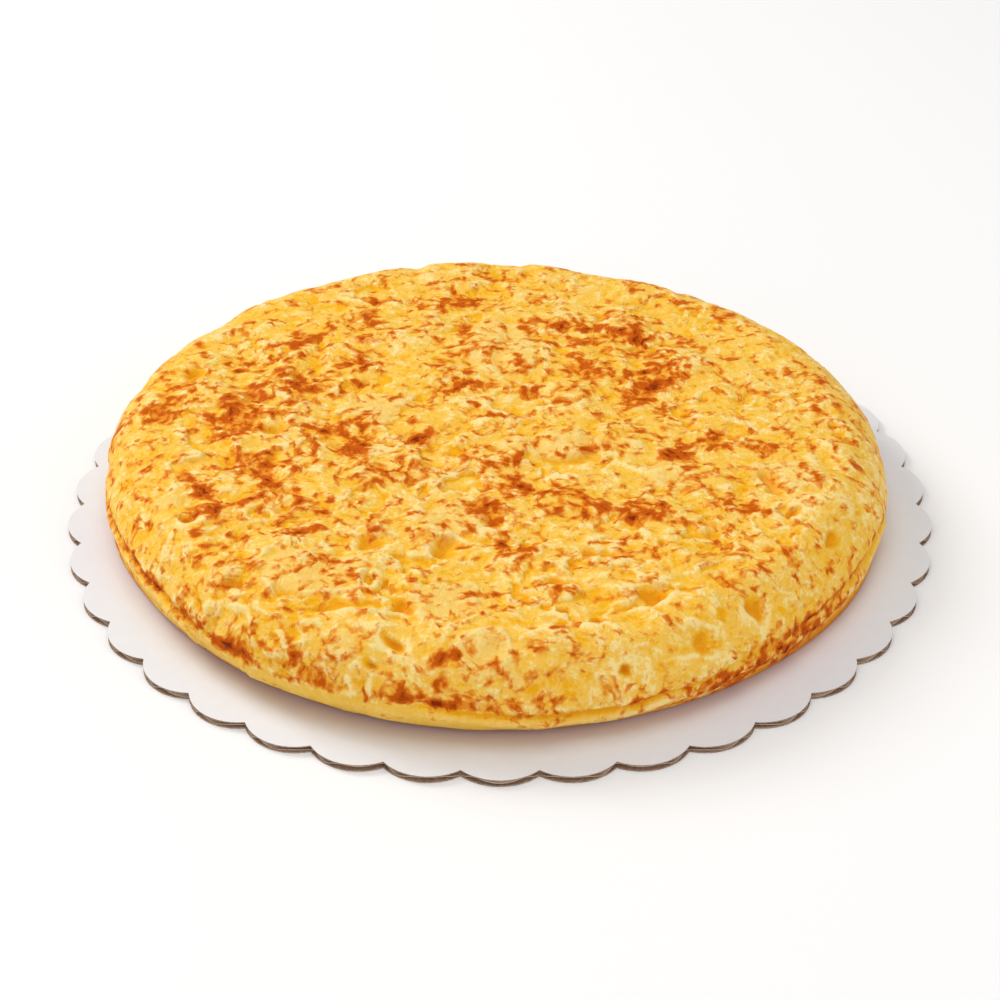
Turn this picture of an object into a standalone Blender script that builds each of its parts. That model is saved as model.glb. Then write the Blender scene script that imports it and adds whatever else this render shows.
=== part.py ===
"""A whole Spanish omelette lying on its scalloped, corrugated cake board. Metres, +Z up.

The origin is the middle of the board's underside, and -Y is the side that faces the viewer.
"""

from math import asin, atan2, cos, exp, hypot, pi, radians, remainder, sin

import bmesh
import bpy
from mathutils import Vector, noise

MM = 0.001

# Cake board
BOARD_DIAMETER = 300 * MM  # over the tips of the scallops
CUSP_DIAMETER = 291 * MM  # across the notches between the scallops
SCALLOPS = 38
SCALLOP_STEPS = 6
BOARD_THICKNESS = 2.6 * MM
LINER_THICKNESS = 0.4 * MM  # the white facing, and the backing
MEDIUM_THICKNESS = 0.4 * MM  # the waved paper between them, measured upright
FLUTE_PITCH = 6.3 * MM
FLUTE_SWING = 0.8 * MM  # half the height of the wave
FLUTE_STEPS = 6

# Omelette: its plan
FOOD_CENTRE = Vector((-1.8 * MM, -2.4 * MM, 0))
WIDEST_RADIUS = 134.2 * MM
OVAL_SHARE, OVAL_ANGLE = 0.0145, radians(-27)
TREFOIL_SHARE, TREFOIL_ANGLE = 0.0095, radians(21.5)

# Where its edge draws in: angle, reach in angle, share of the radius
PLAN_DIPS = (
    (radians(-38), radians(28), 0.028),
    (radians(-150), radians(18), 0.012),
)

# Omelette: its section, with heights above the board
RESTING_GAP = 0.3 * MM
WIDEST_HEIGHT = 13.2 * MM
SHOULDER_HEIGHT = 31.8 * MM
SHOULDER_RADIUS = 116 * MM
SHOULDER_ROUNDNESS = 1.8
CROWN = 1.0 * MM
FOOT_RADIUS = 120.5 * MM
FOOT_ROUNDNESS = 1.5

# Where the foot spreads towards the widest radius: angle, reach in angle, how far
FOOT_SPREADS = (
    (radians(-25), radians(42), 12.5 * MM),
    (radians(-175), radians(42), 12 * MM),
)

# Omelette: its relief
SWELL_LENGTH, SWELL_HEIGHT = 52 * MM, 0.9 * MM
LUMP_LENGTH, LUMP_HEIGHT = 21 * MM, 0.7 * MM
SLICE_SIZE, SLICE_GROOVE, SLICE_LEAN = 27 * MM, 1.0 * MM, 0.8 * MM
SEAM_HEIGHT, SEAM_WANDER = 12 * MM, 2.4 * MM
SEAM_WIDTH, SEAM_DEPTH = 1.3 * MM, 1.7 * MM
SEAM_LIFT, SEAM_LIFT_ANGLE, SEAM_LIFT_REACH = 3.5 * MM, radians(-140), radians(45)
SEAM_CALM, SEAM_CALM_ANGLE, SEAM_CALM_REACH = 0.75, radians(-42), radians(30)
RELIEF_FADE = 5 * MM  # the relief dies away over this height above the board
RIM_CALM = 0.5  # how much of the large relief the rim keeps
NOISE_SEED = 4  # fixed, so that the slices lie the same way in every build

# Dents in the top, in millimetres: x, y, length, width, depth, and the turn of the length in degrees
DENTS = (
    (-73, -40, 13, 5, 2.6, -12),
    (-84, -90, 12, 4, 1.8, 8),
    (-50, -103, 30, 6, 2.2, 4),
    (-30, -104, 5, 8, 3.2, 20),
    (-33, -121, 4, 8, 2.6, 20),
    (-39, -126, 4, 3, 1.8, 0),
    (19, -91, 9, 6, 2.4, 10),
    (-18, -72, 11, 8, 2.0, 20),
    (-42, -70, 10, 6, 2.2, -15),
    (90, -33, 5, 12, 2.8, 15),
    (110, -60, 9, 6, 2.2, 35),
    (48, -97, 9, 7, 3.0, 25),
    (81, -98, 6, 9, 3.4, 35),
    (63, -113, 9, 9, 2.2, 0),
    (32, -75, 12, 4, 2.2, -5),
    (-77, -3, 8, 6, 1.8, 0),
    (-108, 36, 9, 6, 1.8, 60),
)

# Omelette: its mesh
TOP_RINGS = 24
SIDES_TO_A_RING = 6
SHOULDER_RINGS = 7
FOOT_RINGS = 8

OMELETTE_COLOUR = (0.86, 0.53, 0.13, 1)
BOARD_COLOUR = (0.86, 0.84, 0.82, 1)


def material(name, colour, roughness):
    """A plain non-metal finish."""
    made = bpy.data.materials.new(name)
    made.use_nodes = True
    shader = made.node_tree.nodes["Principled BSDF"]
    shader.inputs["Base Color"].default_value = colour
    shader.inputs["Roughness"].default_value = roughness
    shader.inputs["Metallic"].default_value = 0
    return made


def add_object(name, bm, finish):
    """Turns a bmesh into a named object."""
    mesh = bpy.data.meshes.new(name)
    bmesh.ops.recalc_face_normals(bm, faces=bm.faces)
    bm.to_mesh(mesh)
    bm.free()
    made = bpy.data.objects.new(name, mesh)
    bpy.context.scene.collection.objects.link(made)
    mesh.materials.append(finish)
    return made


def scalloped_outline():
    """The board's outline: shallow arcs that meet in notches, one of them facing -Y."""
    cusp_radius, tip_radius = CUSP_DIAMETER / 2, BOARD_DIAMETER / 2
    half_chord = cusp_radius * sin(pi / SCALLOPS)
    bulge = tip_radius - cusp_radius * cos(pi / SCALLOPS)
    arc_radius = (half_chord**2 + bulge**2) / (2 * bulge)
    reach = asin(half_chord / arc_radius)
    points = []
    for scallop in range(SCALLOPS):
        middle = 2 * pi * scallop / SCALLOPS - pi / 2
        centre = Vector((cos(middle), sin(middle), 0)) * (tip_radius - arc_radius)
        for step in range(SCALLOP_STEPS):
            turn = middle + reach * (2 * step / SCALLOP_STEPS - 1)
            points.append(centre + Vector((cos(turn), sin(turn), 0)) * arc_radius)
    return points


def flute_section(middle, side):
    """One channel between a liner and the waved paper, across its run: points (y, z).

    side is 1 for a channel under the facing and -1 for one over the backing.
    """
    half_gap = BOARD_THICKNESS / 2 - LINER_THICKNESS
    glued = FLUTE_PITCH / (2 * pi) * ((half_gap - MEDIUM_THICKNESS / 2) / FLUTE_SWING)
    half_width = FLUTE_PITCH / 2 - glued / 2
    section = []
    for step in range(FLUTE_STEPS + 1):
        across = half_width * (2 * step / FLUTE_STEPS - 1)
        wave = -FLUTE_SWING * cos(2 * pi * across / FLUTE_PITCH) + MEDIUM_THICKNESS / 2
        if step in (0, FLUTE_STEPS):
            wave = half_gap
        section.append((middle + across, BOARD_THICKNESS / 2 + side * wave))
    return section


def flute_cutter():
    """Every channel of the corrugation as one long prism, running along X."""
    bm = bmesh.new()
    rows = int(BOARD_DIAMETER / FLUTE_PITCH) + 1
    for half_row in range(-rows, rows + 1):
        section = flute_section(half_row * FLUTE_PITCH / 2, 1 if half_row % 2 else -1)
        ends = [
            [bm.verts.new((x, y, z)) for y, z in section]
            for x in (-0.6 * BOARD_DIAMETER, 0.6 * BOARD_DIAMETER)
        ]
        for i, _ in enumerate(section):
            j = (i + 1) % len(section)
            bm.faces.new((ends[0][i], ends[0][j], ends[1][j], ends[1][i]))
        bm.faces.new(ends[0])
        bm.faces.new(ends[1])
    cutter = add_object("flute_cutter", bm, material("cutter", BOARD_COLOUR, 0.9))
    cutter.hide_render = True
    cutter.display_type = "WIRE"
    return cutter


def make_board():
    """The board: a scalloped plate whose core is open along every flute, as corrugated board is."""
    bm = bmesh.new()
    outline = [bm.verts.new(p) for p in scalloped_outline()]
    plate = bm.faces.new(outline)
    raised = bmesh.ops.extrude_face_region(bm, geom=[plate])
    top = [v for v in raised["geom"] if isinstance(v, bmesh.types.BMVert)]
    bmesh.ops.translate(bm, verts=top, vec=(0, 0, BOARD_THICKNESS))
    board = add_object("cake_board", bm, material("white_board", BOARD_COLOUR, 0.7))
    cut = board.modifiers.new("flutes", "BOOLEAN")
    cut.operation = "DIFFERENCE"
    cut.object = flute_cutter()
    return board


def smooth_step(low, high, value):
    """0 below low, 1 above high, and a smooth rise between them."""
    share = min(1, max(0, (value - low) / (high - low)))
    return share * share * (3 - 2 * share)


def bumps(angle, places):
    """The sum of bumps (angle, reach, height) at an angle."""
    total = 0
    for middle, reach, height in places:
        total += height * exp(-((remainder(angle - middle, 2 * pi) / reach) ** 2))
    return total


def plan_share(angle):
    """How the omelette's edge departs from a circle at this angle."""
    oval = OVAL_SHARE * cos(2 * (angle - OVAL_ANGLE))
    trefoil = TREFOIL_SHARE * cos(3 * (angle - TREFOIL_ANGLE))
    return 1 + oval + trefoil - bumps(angle, PLAN_DIPS)


def section_stations():
    """The omelette's section from its crown out and under: (radius, height, outward, upward).

    The last two are the direction in which the relief moves a point.
    """
    stations = []
    for ring in range(TOP_RINGS + 1):
        share = ring / TOP_RINGS
        height = SHOULDER_HEIGHT + CROWN * (1 - share**2)
        stations.append((SHOULDER_RADIUS * share, height, 0, 1))
    reach = WIDEST_RADIUS - SHOULDER_RADIUS
    rise = SHOULDER_HEIGHT - WIDEST_HEIGHT
    for ring in range(1, SHOULDER_RINGS + 1):
        turn = pi / 2 * (1 - ring / SHOULDER_RINGS)
        radius = SHOULDER_RADIUS + reach * cos(turn) ** (2 / SHOULDER_ROUNDNESS)
        height = WIDEST_HEIGHT + rise * sin(turn) ** (2 / SHOULDER_ROUNDNESS)
        stations.append((radius, height, cos(turn), sin(turn)))
    reach = WIDEST_RADIUS - FOOT_RADIUS
    for ring in range(1, FOOT_RINGS + 1):
        turn = pi / 2 * ring / FOOT_RINGS
        radius = FOOT_RADIUS + reach * cos(turn) ** (2 / FOOT_ROUNDNESS)
        height = WIDEST_HEIGHT * (1 - sin(turn) ** (2 / FOOT_ROUNDNESS))
        stations.append((radius, height, cos(turn), -sin(turn)))
    return stations


def crown_point(x, y):
    """The smooth surface over a place in plan, before any relief."""
    radius = hypot(x, y) / plan_share(atan2(y, x))
    if radius < SHOULDER_RADIUS:
        return Vector((x, y, SHOULDER_HEIGHT))
    out = min(1, (radius - SHOULDER_RADIUS) / (WIDEST_RADIUS - SHOULDER_RADIUS))
    rise = (1 - out**SHOULDER_ROUNDNESS) ** (1 / SHOULDER_ROUNDNESS)
    height = WIDEST_HEIGHT + (SHOULDER_HEIGHT - WIDEST_HEIGHT) * rise
    return Vector((x, y, height))


def dent_depth(point):
    """How deep the dents are at a point of the surface."""
    depth = 0
    for x, y, length, width, deep, turn in DENTS:
        middle = crown_point(x * MM - FOOD_CENTRE.x, y * MM - FOOD_CENTRE.y)
        away = point - middle
        run = Vector((cos(radians(turn)), sin(radians(turn)), 0))
        along = away.dot(run)
        across = (away - run * along).length
        spread = (along / (length * MM / 2)) ** 2 + (across / (width * MM / 2)) ** 2
        depth += deep * MM * exp(-spread)
    return depth


def slice_relief(point):
    """Potato slices under the egg: each leans its own way, with a groove round it."""
    place = point / SLICE_SIZE + 0.35 * noise.noise_vector(point / SLICE_SIZE)
    distances, centres = noise.voronoi(place, distance_metric="DISTANCE", exponent=2)
    plateau = smooth_step(0, 0.4, distances[1] - distances[0])
    lean = noise.cell_vector(centres[0] * 7.3) - Vector((0.5, 0.5, 0.5))
    tilt = lean.dot(place - centres[0])
    return plateau * SLICE_LEAN * 2 * tilt + (plateau - 0.7) * SLICE_GROOVE


def seam_relief(point, angle):
    """The crease where the bottom crust folds up round the foot, which wanders up and down."""
    turning = Vector((cos(angle), sin(angle), 0))
    wander = noise.noise(turning * 2.3) * SEAM_WANDER + noise.noise(turning * 9) * SEAM_WANDER / 3
    wander += SEAM_LIFT * exp(-((remainder(angle - SEAM_LIFT_ANGLE, 2 * pi) / SEAM_LIFT_REACH) ** 2))
    calm = SEAM_CALM * exp(-((remainder(angle - SEAM_CALM_ANGLE, 2 * pi) / SEAM_CALM_REACH) ** 2))
    strength = 0.6 + 0.8 * noise.noise(turning * 1.7 + Vector((4, 7, 1)))
    off = (point.z - SEAM_HEIGHT - wander) / SEAM_WIDTH
    roll = exp(-(((off + 2.4) / 1.8) ** 2))
    return strength * SEAM_DEPTH * (0.6 * roll - (1 - calm) * exp(-(off**2)))


def relief(point, angle):
    """How far the real surface stands out from the smooth one at a point."""
    calm = 1 - (1 - RIM_CALM) * smooth_step(SHOULDER_HEIGHT, WIDEST_HEIGHT, point.z)
    height = SWELL_HEIGHT * noise.noise(point / SWELL_LENGTH)
    height += LUMP_HEIGHT * noise.noise(point / LUMP_LENGTH + Vector((9, 2, 5)))
    height = calm * (height + slice_relief(point)) - dent_depth(point)
    foot = smooth_step(SEAM_HEIGHT + 11 * MM, SEAM_HEIGHT + 5 * MM, point.z)
    return smooth_step(0, RELIEF_FADE, point.z) * (height + foot * seam_relief(point, angle))


def ring_points(station, count, stagger):
    """One ring round the omelette, with its relief."""
    radius, height, outward, upward = station
    below = (WIDEST_RADIUS - radius) / (WIDEST_RADIUS - FOOT_RADIUS) if height < WIDEST_HEIGHT else 0
    points = []
    for i in range(count):
        angle = 2 * pi * (i + stagger) / count
        around = Vector((cos(angle), sin(angle), 0))
        spread = below * bumps(angle, FOOT_SPREADS)
        point = around * (radius + spread) * plan_share(angle) + Vector((0, 0, height))
        direction = around * outward + Vector((0, 0, upward))
        points.append(point + direction * relief(point, angle))
    return points


def bridge(bm, inner, outer):
    """Fills between two rings that may differ in their number of points, with even triangles."""
    i = j = 0
    while i < len(inner) or j < len(outer):
        inner_next, outer_next = (i + 1) / len(inner), (j + 1) / len(outer)
        a, b = inner[i % len(inner)], outer[j % len(outer)]
        if j < len(outer) and (outer_next <= inner_next or i == len(inner)):
            bm.faces.new((a, b, outer[(j + 1) % len(outer)]))
            j += 1
        else:
            bm.faces.new((a, b, inner[(i + 1) % len(inner)]))
            i += 1


def make_omelette():
    """The omelette: one solid with the dents, slices and seam of the real surface."""
    bm = bmesh.new()
    base = FOOD_CENTRE + Vector((0, 0, BOARD_THICKNESS + RESTING_GAP))
    stations = section_stations()
    crown = Vector((0, 0, stations[0][1]))
    crown.z += relief(crown, 0)
    rings = [[bm.verts.new(base + crown)]]
    for number, station in enumerate(stations[1:], start=1):
        count = SIDES_TO_A_RING * min(number, TOP_RINGS)
        stagger = 0.5 * (number % 2) if number > TOP_RINGS else 0
        points = ring_points(station, count, stagger)
        rings.append([bm.verts.new(base + p) for p in points])
    for i in range(SIDES_TO_A_RING):
        following = rings[1][(i + 1) % SIDES_TO_A_RING]
        bm.faces.new((rings[0][0], rings[1][i], following))
    for inner, outer in zip(rings[1:], rings[2:]):
        bridge(bm, inner, outer)
    bm.faces.new(rings[-1])
    omelette = add_object("omelette", bm, material("egg_crust", OMELETTE_COLOUR, 0.5))
    omelette.data.shade_smooth()
    return omelette


def clear_scene():
    """Removes whatever the startup scene holds."""
    for old in list(bpy.data.objects):
        bpy.data.objects.remove(old)


def main():
    clear_scene()
    noise.seed_set(NOISE_SEED)
    make_board()
    make_omelette()


main()
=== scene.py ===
"""A whole Spanish omelette on its scalloped cake board, with its crust, its board and its stage."""

from math import asin, atan2, cos, exp, hypot, pi, radians, remainder, sin

import bpy
import numpy as np
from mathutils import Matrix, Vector, noise


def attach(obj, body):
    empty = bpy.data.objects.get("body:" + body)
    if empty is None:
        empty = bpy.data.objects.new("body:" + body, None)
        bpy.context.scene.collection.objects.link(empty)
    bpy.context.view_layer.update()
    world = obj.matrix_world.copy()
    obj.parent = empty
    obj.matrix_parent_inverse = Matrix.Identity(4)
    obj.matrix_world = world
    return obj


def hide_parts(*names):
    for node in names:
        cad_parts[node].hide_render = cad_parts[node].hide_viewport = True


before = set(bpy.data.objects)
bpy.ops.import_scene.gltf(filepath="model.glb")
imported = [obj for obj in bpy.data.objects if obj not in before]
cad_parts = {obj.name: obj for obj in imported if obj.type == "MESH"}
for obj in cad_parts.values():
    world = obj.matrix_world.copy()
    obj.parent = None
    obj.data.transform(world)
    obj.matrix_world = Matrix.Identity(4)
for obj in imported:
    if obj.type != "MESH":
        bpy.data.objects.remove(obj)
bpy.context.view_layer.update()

bl_info = {
    "name": "Spanish Omelette",
    "version": (1, 0, 0),
    "blender": (4, 5, 0),
    "location": "View3D > Sidebar > Omelette",
    "description": "Adds a whole Spanish omelette on its cake board",
    "category": "Add Mesh",
}

MM = 0.001

# Omelette: its plan
FOOD_CENTRE = Vector((-1.8 * MM, -2.4 * MM, 0))
WIDEST_RADIUS = 134.2 * MM
OVAL_SHARE, OVAL_ANGLE = 0.0145, radians(-27)
TREFOIL_SHARE, TREFOIL_ANGLE = 0.0095, radians(21.5)

# Where its edge draws in: angle, reach in angle, share of the radius
PLAN_DIPS = (
    (radians(-38), radians(28), 0.028),
    (radians(-150), radians(18), 0.012),
)

# Omelette: its section, with heights above the board
RESTING_GAP = 0.3 * MM
WIDEST_HEIGHT = 13.2 * MM
SHOULDER_HEIGHT = 31.8 * MM
SHOULDER_RADIUS = 116 * MM
SHOULDER_ROUNDNESS = 1.8
CROWN = 1.0 * MM
FOOT_RADIUS = 120.5 * MM
FOOT_ROUNDNESS = 1.5

# Where the foot spreads towards the widest radius: angle, reach in angle, how far
FOOT_SPREADS = (
    (radians(-25), radians(42), 12.5 * MM),
    (radians(-175), radians(42), 12 * MM),
)

# Omelette: its relief
SWELL_LENGTH, SWELL_HEIGHT = 52 * MM, 0.9 * MM
LUMP_LENGTH, LUMP_HEIGHT = 21 * MM, 0.7 * MM
SLICE_SIZE, SLICE_GROOVE, SLICE_LEAN = 27 * MM, 1.0 * MM, 0.8 * MM
SEAM_HEIGHT, SEAM_WANDER = 12 * MM, 2.4 * MM
SEAM_WIDTH, SEAM_DEPTH = 1.3 * MM, 1.7 * MM
SEAM_LIFT, SEAM_LIFT_ANGLE, SEAM_LIFT_REACH = 3.5 * MM, radians(-140), radians(45)
SEAM_CALM, SEAM_CALM_ANGLE, SEAM_CALM_REACH = 0.75, radians(-42), radians(30)
SEAM_BROWN_ANGLE, SEAM_BROWN_REACH = radians(-162), radians(28)
RELIEF_FADE = 5 * MM
RIM_CALM = 0.5  # how much of the large relief the rim keeps
NOISE_SEED = 4  # fixed, so that the relief is the same in every run
UNDER_CALM = 0.55  # how much of the small relief the roll under the seam loses
# The underside is browned from the pan, and darkened further as painted shade near the board, up to the
# height below.
UNDER_BROWN_AND_SHADE_HEIGHT = 6 * MM  # where the underside's deeper colour ends
POTATO_CALM = 0.65  # how much of it the pale slices lose
EDGE_CALM, BACK_CALM = 0.6, 0.55  # how much of it the rim loses, and of its wrinkles at the back
EDGE_RADII = (SHOULDER_RADIUS - 6 * MM, WIDEST_RADIUS - 6 * MM)  # where the rim's calm begins and is full
FAR_CALM = 0.35  # how much of the small relief the far side of the top loses
FOLD_LENGTH, FOLD_HEIGHT = 12 * MM, 1.1 * MM
CREASE_LENGTH, CREASE_HEIGHT = 5.5 * MM, 0.8 * MM
CURD_LENGTH, CURD_HEIGHT = 3.6 * MM, 0.35 * MM
CREVICE_ROUNDS = 10  # how often a point's height is averaged over its neighbours
FOLD_MEAN = 0.2  # the usual size of the noise, so that the folds raise as much as they lower
SLAB_HEIGHT, SLAB_GROOVE = 0.4 * MM, 0.3 * MM
PIT_SPACING, PIT_RADIUS, PIT_DEPTH = 13 * MM, 1.9 * MM, 1.1 * MM
PIT_SHARE = 0.2  # how many of the places for a pit have one
LAYERS_ANGLE, LAYERS_REACH = radians(-47), radians(19)
LAYERS_HEIGHT, LAYERS_SPREAD = 9 * MM, 6 * MM
LAYER_LENGTH, LAYER_PITCH, LAYER_HEIGHT = 13 * MM, 2.6 * MM, 0.8 * MM

ROLL_PALE = 0.6  # how far the roll under the seam is from browned

# Where that roll is browned: angle, reach in angle, how much
ROLL_BROWNED = (
    (LAYERS_ANGLE, 1.3 * LAYERS_REACH, 1.0),
    (radians(-168), radians(15), 0.95),
)

DENT_SHARE = 1.15  # how deep the dents are, next to the depths below

# Dents in the top, in millimetres: x, y, length, width, depth, and the turn of the length in degrees
DENTS = (
    (-73, -40, 13, 5, 2.6, -12),
    (-84, -90, 12, 4, 1.8, 8),
    (-50, -103, 30, 6, 2.2, 4),
    (-30, -104, 5, 8, 3.2, 20),
    (-33, -121, 4, 8, 2.6, 20),
    (-39, -126, 4, 3, 1.8, 0),
    (19, -91, 9, 6, 2.4, 10),
    (-18, -72, 11, 8, 2.0, 20),
    (-42, -70, 10, 6, 2.2, -15),
    (90, -33, 5, 12, 2.8, 15),
    (110, -60, 9, 6, 2.2, 35),
    (48, -97, 9, 7, 3.0, 25),
    (81, -98, 6, 9, 3.4, 35),
    (63, -113, 9, 9, 2.2, 0),
    (32, -75, 12, 4, 2.2, -5),
    (-77, -3, 8, 6, 1.8, 0),
    (-108, 36, 9, 6, 1.8, 60),
)

# Pores, a few millimetres across: x, y, width, depth
PORES = (
    (19.5, -106, 3.2, 2.6),
    (30, -110, 3.4, 3.0),
    (10, -116, 2.6, 2.0),
    (38.5, -126, 3.4, 2.6),
    (-102, -55, 4.5, 2.4),
    (8, -70, 3.0, 1.8),
    (52, -71, 3.0, 1.8),
    (-7, -98, 2.4, 1.4),
    (95, -52, 3.0, 1.6),
)

# Thin folds of skin, in millimetres: from x, y, to x, y, height
FOLDS = (
    (-92, -93, -94, -96, 1.0),
    (-92, -93, -74, -96, 1.0),
    (-79, -101, -75, -111, 1.3),
    (-79, -101, -86, -96, 1.1),
    (-83, -103, -76, -104, 0.7),
    (-46, -124, -46, -128, 1.1),
    (-39, -126, -40, -130, 1.1),
    (-43, -123, -46, -124, 0.9),
    (-60, -110, -37, -108, 1.5),
    (-37, -108, -31, -108, 1.1),
    (-98, -89, -96, -94, 1.0),
    (-105, -56, -101, -65, 0.9),
    (-76, -88, -70, -98, 1.0),
    (-72, -72, -76, -79, 0.9),
    (-43, -84, -44, -95, 1.2),
    (-44, -95, -65, -99, 1.1),
    (-74, -111, -65, -116, 1.0),
    (-65, -115, -69, -110, 0.9),
    (-28, -106, -19, -115, 1.0),
    (-11, -120, 0, -116, 0.9),
    (0, -116, 4, -128, 0.8),
    (-16, -116, -6, -108, 0.8),
    (30, -79, 42, -81, 1.3),
    (19, -95, 27, -93, 1.1),
    (50, -102, 56, -94, 1.0),
    (60, -87, 71, -78, 1.1),
    (56, -109, 67, -108, 0.9),
    (52, -120, 66, -114, 0.8),
    (36, -102, 42, -100, 1.3),
    (-22, -64, -8, -70, 1.3),
    (-46, -62, -34, -66, 1.0),
)
FOLD_WIDTH, FOLD_RISE = 1.0 * MM, 1.25

# Browned patches, in millimetres: x, y, length, width, turn of the length in degrees, strength
BROWNED = (
    (-14, 85, 24, 9, 5, 1.0),
    (40, 116, 60, 6, -10, 0.5),
    (-47, 78, 36, 6, 90, 1.0),
    (25, 66, 38, 10, -12, 1.0),
    (50, 57, 28, 12, 105, 0.9),
    (80, 68, 20, 12, 60, 0.7),
    (-70, 32, 32, 16, 110, 1.1),
    (-87, 20, 22, 12, 60, 1.0),
    (-89, -2, 18, 9, 10, 0.8),
    (-94, 41, 18, 8, 10, 0.7),
    (-53, 42, 16, 8, 20, 0.7),
    (-64, 62, 26, 6, 25, 0.7),
    (-21, 54, 18, 5, -20, 0.8),
    (-12, 62, 6, 14, 20, 0.7),
    (32, 55, 16, 7, 0, 0.7),
    (56, 33, 18, 12, 60, 0.5),
    (-51, 27, 20, 8, 45, 0.8),
    (-16, 25, 26, 11, 20, 1.1),
    (10, 20, 11, 9, 0, 1.1),
    (52, 23, 30, 18, 75, 0.85),
    (34, 36, 18, 12, 0, 0.6),
    (-118, 8, 20, 12, 80, 0.7),
    (-134, -6, 34, 3, 88, 0.5),
    (0, -95, 250, 100, 0, -0.12),
    (45, -124, 80, 20, 22, -0.5),
    (-20, -118, 44, 14, -6, -0.4),
    (122, -45, 90, 26, 65, -0.35),
    (-94, 2, 26, 16, 60, 0.8),
    (-76, -26, 28, 9, 10, 0.6),
    (-60, -3, 26, 9, 10, 0.9),
    (-50, -14, 16, 11, 45, 1.0),
    (-79, -19, 28, 9, 15, 0.8),
    (-28, -8, 16, 12, 90, 0.9),
    (8, -25, 12, 10, 60, 0.8),
    (8, -39, 28, 8, -15, 1.1),
    (-3, -51, 20, 12, -30, 0.9),
    (66, -12, 34, 9, 25, 0.8),
    (88, -12, 20, 6, 0, 0.5),
    (60, -18, 12, 7, 0, 0.8),
    (42, -53, 38, 13, 0, 1.0),
    (77, -47, 22, 14, -20, 0.8),
    (-74, -37, 24, 5, -35, 1.0),
    (-100, -38, 34, 7, -60, 1.0),
    (-92, -50, 26, 6, 20, 0.9),
    (-38, -32, 10, 8, 0, 0.9),
    (-58, -52, 34, 18, 0, 0.6),
    (1, -71, 9, 14, 20, 1.0),
    (38, -77, 26, 8, 0, 0.7),
    (15, -94, 38, 8, 0, 0.6),
    (74, -72, 24, 14, 0, 0.6),
    (-86, -80, 10, 6, 0, 0.9),
    (-96, -74, 8, 5, 0, 0.7),
    (-82, -91, 12, 3, 0, 0.9),
    (-77, -82, 7, 4, 30, 0.7),
    (-73, -95, 9, 3, 0, 0.7),
    (-72, -110, 9, 6, -30, 0.7),
    (-83, -106, 15, 4, -35, 1.0),
    (-98, -92, 6, 5, -50, 0.9),
    (-55, -124, 6, 5, 0, 0.9),
    (-63, -118, 9, 5, -60, 0.5),
    (-33, -131, 6, 5, 0, 0.8),
    (-55, -82, 8, 7, 0, 0.9),
    (-46, -97, 6, 3, 0, 0.8),
    (-47, -83, 6, 5, 0, 0.8),
    (-51, -72, 16, 3, -5, 0.9),
    (-66, -66, 11, 7, 0, 1.0),
    (-19, -115, 8, 5, -45, 0.8),
    (-14, -127, 9, 6, 0, 0.7),
    (-15, -135, 34, 5, -3, 1.0),
    (16, -136, 26, 4, 5, 0.8),
)

# Pale potato under a thin skin of egg: x, y, length, width, turn
PALE = (
    (-62, -87, 34, 22, 10),
    (-49, -120, 13, 10, 0),
    (-87, -85, 14, 8, 10),
    (-45, 12, 22, 20, 0),
    (20, -13, 40, 14, -5),
    (0, 52, 30, 40, 0),
    (-18, -101, 26, 22, 0),
    (-15, -58, 26, 20, 30),
    (-5, -124, 24, 18, 20),
    (58, -32, 20, 14, 0),
    (98, -30, 24, 16, 0),
    (-110, -44, 12, 9, 0),
)

# Omelette: its mesh
SIDES = 840
TOP_CUTS = (13, 9)
RIM_ROWS = 48
PLAIN_BELOW, PLAIN_SHARE = 6 * MM, 0.35  # where the rim's rows are fewer

# Cake board
BOARD_DIAMETER = 300 * MM
CUSP_DIAMETER = 291 * MM
SCALLOPS = 38
SCALLOP_STEPS = 12
BOARD_THICKNESS = 2.6 * MM
LINER_THICKNESS = 0.4 * MM
MEDIUM_THICKNESS = 0.3 * MM
FLUTE_PITCH = 6.3 * MM
FLUTE_STEPS = 12

# Stage; each light has its name, its place and its size
FLOOR_SIZE, FLOOR_COLOUR, FLOOR_GLOW = 8, (0.88, 0.88, 0.88, 1), 0.07
DAYLIGHT_COLOUR = (1, 0.965, 0.93, 1)
LIGHTS = (
    ("window", (-1.35, 0.95, 1.25), 0.8),
    ("ceiling", (0, -0.2, 1.8), 1.2),
    ("left_reflector", (-0.85, -1.05, 0.75), 1.0),
    ("right_reflector", (1.15, -0.85, 0.7), 1.0),
)
SENSOR_WIDTH = 36  # in millimetres
AIM_HEIGHT = 4.2 * MM


def smooth_step(low, high, value):
    """0 below low, 1 above high, and a smooth rise between them."""
    share = np.clip((value - low) / (high - low), 0, 1)
    return share * share * (3 - 2 * share)


def deselect():
    """Leaves nothing selected, so that an operator acts only on what follows."""
    if bpy.context.object and bpy.context.object.mode != "OBJECT":
        bpy.ops.object.mode_set(mode="OBJECT")
    bpy.ops.object.select_all(action="DESELECT")


def select_only(piece):
    """Makes one object the selected and active one."""
    deselect()
    piece.select_set(True)
    bpy.context.view_layer.objects.active = piece


def coordinates(piece):
    """The points of an object's mesh, one a row."""
    flat = np.empty(len(piece.data.vertices) * 3, np.float64)
    piece.data.vertices.foreach_get("co", flat)
    return flat.reshape(-1, 3)


def move_points(piece, points):
    """Puts the points of an object's mesh at new places."""
    piece.data.vertices.foreach_set("co", np.asarray(points, np.float64).ravel())
    piece.data.update()


def store(piece, name, values):
    """Keeps one number a point on the mesh, for the material to read."""
    layer = piece.data.attributes.new(name, "FLOAT", "POINT")
    layer.data.foreach_set("value", np.asarray(values, np.float32))


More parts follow.
